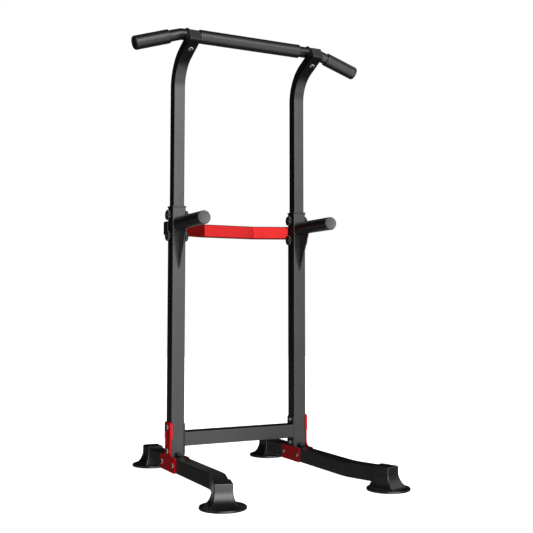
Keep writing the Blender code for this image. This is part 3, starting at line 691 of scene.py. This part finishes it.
def dome_nut(name, at, axis, r, height, mat, washer=0.0015):
    """A washer, hexagon and dome standing on at."""
    w = washer
    h = height
    prof = [(0.0, r * 1.0, "o"), (w * 0.2, r * 1.03, "o"), (w * 0.8, r * 1.03, "o"), (w, r * 1.0, "o"),
            (w, r * 0.86, "o"), (w + 0.0004, r * 0.95, "x"), (w + (h - w) * 0.36, r * 0.95, "x"),
            (w + (h - w) * 0.44, r * 0.83, "o"), (w + (h - w) * 0.47, r * 0.72, "o"),
            (w + (h - w) * 0.66, r * 0.68, "o"), (w + (h - w) * 0.84, r * 0.52, "o"),
            (w + (h - w) * 0.95, r * 0.32, "o"), (h, r * 0.12, "o")]
    return loft(name, rings_for(prof, at, axis), mat, angle=30)


def bolt_and_nut(name, node, centre, axis, top, low, head_r, head_h, nut_r, nut_h,
                 nut_mat, ride=fixed):
    t = Vector(axis).normalized()
    head = button_bolt(name + "_h", centre + t * top, t, top - low - 0.0004, head_r, head_h, DARK_STEEL, ZINC)
    nut = dome_nut(name + "_n", centre + t * low, -t, nut_r, nut_h, nut_mat)
    ride(join([head, nut], name), "zinc", node)


BRACKET_T = 0.006
top = OUT_X + 2 * GAP + BRACKET_T - UX
low = -(LOWER / 2 + 2 * GAP + PLATE_T)
for side, s in SIDES:
    for tag, z in zip(("upper", "lower"), THROUGH_Z):
        bolt_and_nut("%s_through_bolt_%s" % (side, tag), "%s_upright_bolt_%s" % (side, tag),
                     Vector((s * UX, UY, z)), (s, 0, 0), top, low, 0.0105, 0.0062, 0.0115, 0.0085, NUT)
    for tag, y in (("front", -0.064), ("rear", 0.064)):
        bolt_and_nut("%s_rail_screw_%s" % (side, tag), "%s_rail_bolt_%s" % (side, tag),
                     Vector((s * UX, yy(y), RAIL_Z)), (s, 0, 0), top, low, 0.0105, 0.0062,
                     0.0115, 0.0070, NUT)
    deck = RAIL_Z + LOWER / 2 + GAP
    at = Vector((s * UX, yy(-0.047), deck))
    stud = loft("stud", rings_for([(-0.012, 0.0033, "o"), (-0.0111, 0.0041, "o"), (0.0010, 0.0041, "o")], at, Z),
                DARK_STEEL)
    fixed(join([stud, dome_nut("n", at, Z, 0.0102, 0.0170, DARK_STEEL),
                washer_disc("w", at - Z * 0.0, Z, 0.0104, ZINC, 0.0013, 0.0088)], side + "_foot_screw"),
          "zinc", side + "_foot_bolt")
    fixed(button_bolt(side + "_back_screw", (s * 0.3055, yy(BACK_NEAR + BACK_D + GAP), BACK_Z), Y,
                      BACK_NEAR + BACK_D + GAP - 0.0265, 0.0105, 0.0062, DARK_STEEL, ZINC),
          "zinc", side + "_back_bar_bolt")
    up = Vector((0, math.cos(BEND_A), math.sin(BEND_A)))
    centre = Vector((s * UX, yy(BAR_Y), BAR_Z))
    bolt_and_nut(side + "_bar_screw", side + "_bar_bolt", centre, -up,
                 BAR_R + UPPER + 2 * GAP + 0.0002, -(BAR_R + GAP), 0.0105, 0.0062, 0.0117, 0.0130,
                 PLASTIC, lifted)


# ----------------------------------------------------- red brackets and plates
def plate_bm(points, x0, x1, ease):
    """An outline in Y and Z between two X planes, its long edges eased."""
    bm = bmesh.new()
    a = [bm.verts.new((x0, y, z)) for y, z in points]
    b = [bm.verts.new((x1, y, z)) for y, z in points]
    n = len(points)
    for i in range(n):
        j = (i + 1) % n
        bm.faces.new((a[i], a[j], b[j], b[i]))
    f0, f1 = bm.faces.new(a[::-1]), bm.faces.new(b)
    bmesh.ops.recalc_face_normals(bm, faces=bm.faces)
    edges = list(set(f0.edges[:] + f1.edges[:]))
    bmesh.ops.bevel(bm, geom=edges, offset=ease, segments=2, affect="EDGES", profile=0.5)
    return bm


def bracket_points():
    w, b, t, m, r = 0.030, 0.0265, 0.2320, 0.0905, 0.022
    hw = 0.086
    half = [(hw - 0.004, b)] + arc(hw - 0.004, b + 0.004, 0.004, -math.pi / 2, 0, 4)[1:]
    half += arc(hw - 0.004, m - 0.004, 0.004, 0, math.pi / 2, 4)
    half += arc(w + r, m + r, r, -math.pi / 2, -math.pi, 10)
    half += arc(w - 0.006, t - 0.006, 0.006, 0, math.pi / 2, 5)
    out = []
    for y, z in half:
        if not out or (Vector((y, z)) - Vector(out[-1])).length > 1e-5:
            out.append((y, z))
    return out + [(-y, z) for y, z in reversed(out)]


for side, s in SIDES:
    x0, x1 = s * (OUT_X + GAP), s * (OUT_X + GAP + BRACKET_T)
    pts = [(yy(y), z) for y, z in bracket_points()]
    plate = finish_mesh(side + "_t_bracket", plate_bm(pts, x0, x1, 0.0009), RED_PLATE, weighted=True)
    tools = []
    for y, z in ((0, THROUGH_Z[0]), (0, THROUGH_Z[1]), (-0.064, RAIL_Z), (0.064, RAIL_Z)):
        tools.append(cutter("h", [(-0.02, 0.0046), (0.02, 0.0046)], (s * OUT_X, yy(y), z), X))
    # stamped panel between the two strip bolts
    rings = []
    for d, w, h in ((0.004, 0.048, 0.070), (0.0, 0.044, 0.066), (-0.0042, 0.0400, 0.0620)):
        rings.append(lay(outline(w, h, 0.004, 5), Vector((x1 + s * d, yy(0.002), 0.1585)), Y, Z))
    tools.append(loft("p", rings, RED_PLATE))
    boolean(plate, tools)
    pieces = [plate]
    xa, xb = OUT_X - 0.0055, OUT_X + GAP + BRACKET_T
    for f in (-1, 1):
        lip = box_bm((xb - xa, 0.0040, 0.066),
                     Matrix.Translation((s * (xa + xb) / 2, yy(f * (LOWER / 2 + GAP + 0.0020)), 0.1945)),
                     0.0010, 3)
        pieces.append(finish_mesh("l", lip, RED_PLATE))
    join_ob = boolean(pieces[0], pieces[1:], "UNION")
    fixed(join_ob, "red_coat", side + "_outer_bracket")

    xc = half - PLATE_T / 2
    pts = [(UY + y, 0.0580 + z) for y, z in outline(0.168, 0.0640, 0.005, 5)]
    plate = finish_mesh(side + "_rail_plate", plate_bm(pts, s * (xc - PLATE_T / 2), s * (xc + PLATE_T / 2), 0.0007),
                        RED_PLATE, weighted=True)
    boolean(plate, [cutter("h", [(-0.02, 0.0046), (0.02, 0.0046)], (s * xc, yy(y), RAIL_Z), X)
                    for y in (-0.064, 0.064)])
    fixed(plate, "red_coat", side + "_inner_plate")


# --------------------------------------------------------------- bowed back bar
near, far = BACK_NEAR + BACK_D / 2, BACK_FAR + BACK_D / 2
flat_path = fillet([(-OUT_X, yy(near)), (-BACK_X2, yy(near)), (-BACK_X1, yy(far)),
                    (BACK_X1, yy(far)), (BACK_X2, yy(near)), (OUT_X, yy(near))], 0.040, 8)
back = square_tube("bowed_back_bar", [(x, y, BACK_Z) for x, y in flat_path], Z, BACK_D, BACK_H, RED, r=0.0055)
boolean(back, [cutter("h", [(-0.035, 0.0046), (0.035, 0.0046)], (s * 0.3055, yy(near), BACK_Z), Y)
               for _, s in SIDES])
fixed(back, "red_coat", "back_bar")
for side, s in SIDES:
    rings = []
    for d, cut, r in ((-0.0070, 0.0075, 0.003), (-0.0070 + 0.001, 0.0068, 0.003), (GAP, 0.0068, 0.003),
                      (GAP, 0.0008, 0.005), (GAP + 0.0006, 0.0, 0.0055), (0.0022, 0.0, 0.0055),
                      (0.0029, 0.0010, 0.005), (0.0033, 0.0026, 0.004)):
        rings.append(lay(outline(BACK_D - cut, BACK_H - cut, r), Vector((s * (OUT_X + d), yy(near), BACK_Z)), Y, Z))
    fixed(loft(side + "_back_cap", rings, PLASTIC, weighted=True), "black_plastic", side + "_back_bar_cap")


# ------------------------------------------------------------------ dip handles
for side, s in SIDES:
    root_y = yy(-LOWER / 2 - GAP)
    tube_l = -DIP_END - LOWER / 2 - GAP - 0.0042 - GAP
    tube = turned(side + "_dip_tube", [(0, DIP_R - 0.002), (0, DIP_R), (tube_l, DIP_R), (tube_l, DIP_R - 0.002)],
                  (s * UX, root_y, DIP_Z), -Y, BLACK, 56, cyclic=True)
    top_z = DIP_Z - DIP_R + 0.0012
    pts = [(root_y, top_z), (root_y, 0.8870), (yy(-LOWER / 2 - 0.0045), 0.8870), (yy(-0.1120), 1.0480),
           (yy(-0.1134), 1.0505), (yy(-0.1145), 1.0540), (yy(-0.1150), top_z)]
    web = finish_mesh(side + "_gusset", plate_bm(pts, s * UX - 0.0025, s * UX + 0.0025, 0.0008), BLACK, weighted=True)
    beads = []
    for k in (-1, 1):
        beads.append(bead("w", [(s * UX + k * 0.0030, root_y - 0.0006, z) for z in
                                [0.889 + 0.012 * i for i in range(14)]], False, 0.0011, 3.0 + k))
    fixed(join([tube, web] + beads, side + "_dip_handle"), "black_coat", side + "_dip_arm")

    at = (s * UX, yy(-LOWER / 2 - 0.0035), DIP_Z)
    length = -DIP_END - LOWER / 2 - 0.0035 - 0.0042 - GAP
    foam = foam_tube(side + "_dip_grip", at, -Y, length, 0.0248, 0.0285, 9.0 + s)
    slot = finish_mesh("slot", box_bm((0.0062, 0.0870, 0.0200), Matrix.Translation(
        (s * UX, yy(-LOWER / 2 - 0.0430), DIP_Z - 0.0300))), FOAM)
    boolean(foam, [slot])
    fixed(foam, "foam", side + "_dip_foam")
    cap = turned(side + "_dip_end", [(-0.0182, 0.0204), (-0.0170, 0.0216), (-0.0042, 0.0218), (-0.0042, 0.0252),
                                     (-0.0034, 0.0261), (-0.0014, 0.0262), (-0.0004, 0.0256), (0.0, 0.0244),
                                     (0.0, 0.0238), (-0.0004, 0.0232), (-0.0004, 0.0040)],
                 (s * UX, yy(DIP_END), DIP_Z), -Y, GREY, 72)
    fixed(cap, "grey_plastic", side + "_dip_cap")


# ------------------------------------------------------------- knobs and nuts
def knob_rings(at, axis, stem):
    t, u, v = axes_for(axis)
    at = Vector(at)
    n = 120
    rings = []
    for h, r, lobe in ((-stem, 0.0034, 0), (-stem + 0.0008, 0.0041, 0), (0.0, 0.0041, 0), (0.0, 0.0148, 0),
                       (0.0006, 0.0152, 0), (0.0034, 0.0152, 0), (0.0040, 0.0176, 0.2), (0.0044, 0.0210, 0.7),
                       (0.0050, 0.0225, 0.95), (0.0062, 0.0230, 1.0), (0.0128, 0.0230, 1.0),
                       (0.0150, 0.0224, 1.0), (0.0168, 0.0210, 0.9), (0.0177, 0.0192, 0.6),
                       (0.0180, 0.0170, 0.2), (0.0176, 0.0154, 0), (0.0164, 0.0146, 0), (0.0162, 0.0112, 0),
                       (0.0170, 0.0104, 0), (0.0196, 0.0100, 0), (0.0205, 0.0090, 0), (0.0205, 0.0055, 0),
                       (0.0199, 0.0050, 0)):
        ring = []
        for i in range(n):
            a = 2 * math.pi * i / n
            dip = (0.5 - 0.5 * math.cos(12 * a)) ** 1.4
            rr = r - 0.0034 * lobe * dip
            ring.append(at + t * h + u * (rr * math.cos(a)) + v * (rr * math.sin(a)))
        rings.append(ring)
    return rings


for side, s in SIDES:
    for level, z in KNOB_Z.items():
        stem = 0.0046 + GAP
        k = loft("%s_%s_hand_knob" % (side, level),
                 knob_rings((s * (OUT_X + GAP), UY, z), (s, 0, 0), stem), KNOB, angle=42)
        fixed(k, "black_plastic", "%s_%s_knob" % (side, level), body="%s_%s_knob_turn" % (side, level))
        k = loft("%s_%s_hand_nut" % (side, level),
                 knob_rings((s * (IN_X - GAP), UY, z), (-s, 0, 0), stem), KNOB, angle=42)
        fixed(k, "black_plastic", "%s_%s_lock_nut" % (side, level))


# -------------------------------------------------------------------- foot shoes
def shoe_ring(cy, a, b_back, b_front, r, z, m):
    """A rounded rectangle half a wide, from b_back to b_front along the rail."""
    h = b_front - b_back
    pts = outline(2 * a, h, r, 12)
    return [m @ Vector((x, y + (b_front + b_back) / 2 + cy, z)) for x, y in pts]


for side, s in SIDES:
    for end, fx, fy, ang in (("front", FOOT_X, FOOT_FRONT, math.pi + s * SPLAY),
                             ("rear", UX, FOOT_REAR, 0.0)):
        m = Matrix.Translation((s * fx, yy(fy), 0)) @ Matrix.Rotation(ang, 4, "Z")
        rings = []
        def disc(r, z):
            rings.append(shoe_ring(0, r, -r, r, r - 0.00005, z, m))
        disc(0.0600, 0.0000)
        disc(0.0840, 0.0000)
        disc(0.0862, 0.0005)
        disc(0.0870, 0.0018)
        disc(0.0870, 0.0072)
        disc(0.0866, 0.0086)
        disc(0.0856, 0.0094)
        disc(0.0842, 0.0096)
        disc(0.0829, 0.0090)
        disc(0.0820, 0.0077)
        disc(0.0800, 0.0066)
        disc(0.0750, 0.0063)
        # slope of the flare grows evenly from upright to nearly flat
        steps, run = [], 0.0
        slope = ((0.0660, 0), (0.0515, 18), (0.0340, 33), (0.0220, 46), (0.0105, 62), (0.0085, 66))
        zs = [0.0660, 0.0620, 0.0580, 0.0545, 0.0510, 0.0470, 0.0430, 0.0390, 0.0350, 0.0310, 0.0270,
              0.0230, 0.0195, 0.0165, 0.0140, 0.0118, 0.0100, 0.0085]
        def lean(z):
            for (z0, a0), (z1, a1) in zip(slope, slope[1:]):
                if z1 <= z <= z0:
                    return a0 + (a1 - a0) * (z0 - z) / (z0 - z1)
            return 0.0
        for z1, z0 in zip(zs, zs[1:]):
            steps.append((z1, run))
            run += (z1 - z0) * math.tan(math.radians(lean((z1 + z0) / 2)))
        steps.append((zs[-1], run))
        steps = [(z, k / run) for z, k in reversed(steps)]
        for z, k in steps:
            a = 0.0350 + 0.0225 * k
            rings.append(shoe_ring(0, a, -0.0540 - 0.0100 * k, 0.0250 + 0.0345 * k,
                                   0.0040 + 0.0035 * k, z, m))
        for z, cut, r in ((0.0885, 0.0, 0.0040), (0.0910, 0.0008, 0.0045), (0.0926, 0.0024, 0.0050),
                          (0.0933, 0.0048, 0.0060)):
            rings.append(shoe_ring(0, 0.0350 - cut, -0.0540, 0.0250 - cut, r, z, m))
        shoe = loft("%s_%s_shoe" % (end, side), rings, RUBBER, weighted=True)
        w = LOWER + 2 * GAP
        p0, p1 = -0.0540 - 0.03, IN_SHOE + GAP
        pocket = finish_mesh("pocket", box_bm((w, p1 - p0, w), m @ Matrix.Translation((0, (p0 + p1) / 2, RAIL_Z))),
                             RUBBER)
        boolean(shoe, [pocket])
        fixed(shoe, "foot_rubber", "%s_%s_foot" % (end, side))

# the glides inside the lower tubes keep their CAD shape
for side, s in SIDES:
    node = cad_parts[side + "_lower_glide"]
    node.data.materials.clear()
    node.data.materials.append(PLASTIC)


# ------------------------------------------------------------- camera and light
cam_data = bpy.data.cameras.new("camera")
cam = bpy.data.objects.new("camera", cam_data)
scene.collection.objects.link(cam)
cam.location = (-1.6618, -3.4237, 0.7235)
cam.rotation_euler = (math.radians(93.816), 0.0, math.radians(-27.20))
cam_data.lens = 59.66
cam_data.sensor_width = 36.0
cam_data.shift_x = -0.0171
cam_data.shift_y = -0.0358
scene.camera = cam


# The studio: soft panels set by direction, azimuth from the front (positive to
# the object's right) and elevation, in degrees.  Each is (azimuth rise, azimuth
# fall, elevation rise, elevation fall, radiance), smooth at its edges.
PANELS = (
    ((-48, -18), (14, 46), (-46, -14), (26, 54), 2.2),      # main, whole height
    ((-40, -14), (12, 42), (-12, 20), (26, 54), 5.2),       # main, upper part
    ((-60, -20), (36, 72), (-100, -62), (-30, -12), 1.9),   # main, glow off the floor
    ((-124, -102), (-74, -52), (-30, 0), (25, 50), 0.46),   # left
    ((52, 66), (92, 112), (-18, 2), (35, 60), 0.26),        # right, in front
    ((62, 76), (100, 116), (8, 24), (48, 66), 0.7),         # right, behind
    ((-200, -199), (-158, -138), (44, 58), (70, 84), 0.9),  # left, behind, high
    ((-162, -144), (-128, -112), (-44, -28), (-9, -1), 0.24),  # left, behind, low
    ((-200, -199), (-184, -170), (-46, -30), (-12, -3), 0.30),  # behind, low fill
    ((136, 158), (200, 201), (-46, -30), (-12, -3), 0.30),
    ((-200, -199), (200, 201), (-90, -75), (-22, -4), 0.02),  # from below
)
AMBIENT = 0.007

world = bpy.data.worlds.new("world")
scene.world = world
world.use_nodes = True
t = world.node_tree


def wire(kind, inputs, **props):
    n = t.nodes.new(kind)
    for k, v in props.items():
        setattr(n, k, v)
    for i, v in enumerate(inputs):
        if isinstance(v, (int, float)):
            n.inputs[i].default_value = v
        elif v is not None:
            t.links.new(v, n.inputs[i])
    return n.outputs[0]


def maths(op, *inputs):
    return wire("ShaderNodeMath", inputs, operation=op)


def smooth(x, a, b):
    return wire("ShaderNodeMapRange", (x, a, b, 0.0, 1.0), interpolation_type="SMOOTHSTEP")


sep = t.nodes.new("ShaderNodeSeparateXYZ")
t.links.new(t.nodes.new("ShaderNodeTexCoord").outputs["Generated"], sep.inputs[0])
dx_, dy_, dz_ = sep.outputs[0], sep.outputs[1], sep.outputs[2]
azimuth = maths("DEGREES", maths("ARCTAN2", dx_, maths("MULTIPLY", dy_, -1.0)))
elevation = maths("DEGREES", maths("ARCSINE", dz_))
total = None
for rise, fall, up, down, radiance in PANELS:
    v = maths("MULTIPLY", smooth(azimuth, *rise), smooth(azimuth, fall[1], fall[0]))
    v = maths("MULTIPLY", v, smooth(elevation, *up))
    v = maths("MULTIPLY", v, smooth(elevation, down[1], down[0]))
    v = maths("MULTIPLY", v, radiance)
    total = v if total is None else maths("ADD", total, v)
total = maths("ADD", total, AMBIENT)
bg = t.nodes["Background"]
bg.inputs["Color"].default_value = (1, 1, 1, 1)
t.links.new(total, bg.inputs["Strength"])
plain = t.nodes.new("ShaderNodeBackground")
plain.inputs["Color"].default_value = (1, 1, 1, 1)
mix = t.nodes.new("ShaderNodeMixShader")
lp = t.nodes.new("ShaderNodeLightPath")
t.links.new(lp.outputs["Is Camera Ray"], mix.inputs["Fac"])
t.links.new(bg.outputs["Background"], mix.inputs[1])
t.links.new(plain.outputs["Background"], mix.inputs[2])
t.links.new(mix.outputs["Shader"], t.nodes["World Output"].inputs["Surface"])

floor_bm = bmesh.new()
bmesh.ops.create_circle(floor_bm, cap_ends=True, radius=9.0, segments=96)
bmesh.ops.translate(floor_bm, vec=(0, 0, -0.0002), verts=floor_bm.verts)
fm = Nodes("pale_floor", (0.92, 0.92, 0.92), 0.9)
fm.colour(fm.ramp(fm.noise(6.0, 3.0), [(0.3, (0.90, 0.90, 0.90)), (0.7, (0.94, 0.94, 0.94))]))
fm.b.inputs["Emission Color"].default_value = (1, 1, 1, 1)
glow = fm.add("ShaderNodeVectorMath", operation="LENGTH")
fm.t.links.new(fm.co, glow.inputs[0])
fm.t.links.new(fm.span(glow.outputs["Value"], 0.93, 1.02, 0.8, 2.4), fm.b.inputs["Emission Strength"])
floor = finish_mesh("floor", floor_bm, fm.mat)
floor.visible_diffuse = False
floor.visible_glossy = False
floor.visible_shadow = False

scene.view_settings.view_transform = "Standard"
scene.view_settings.look = "None"
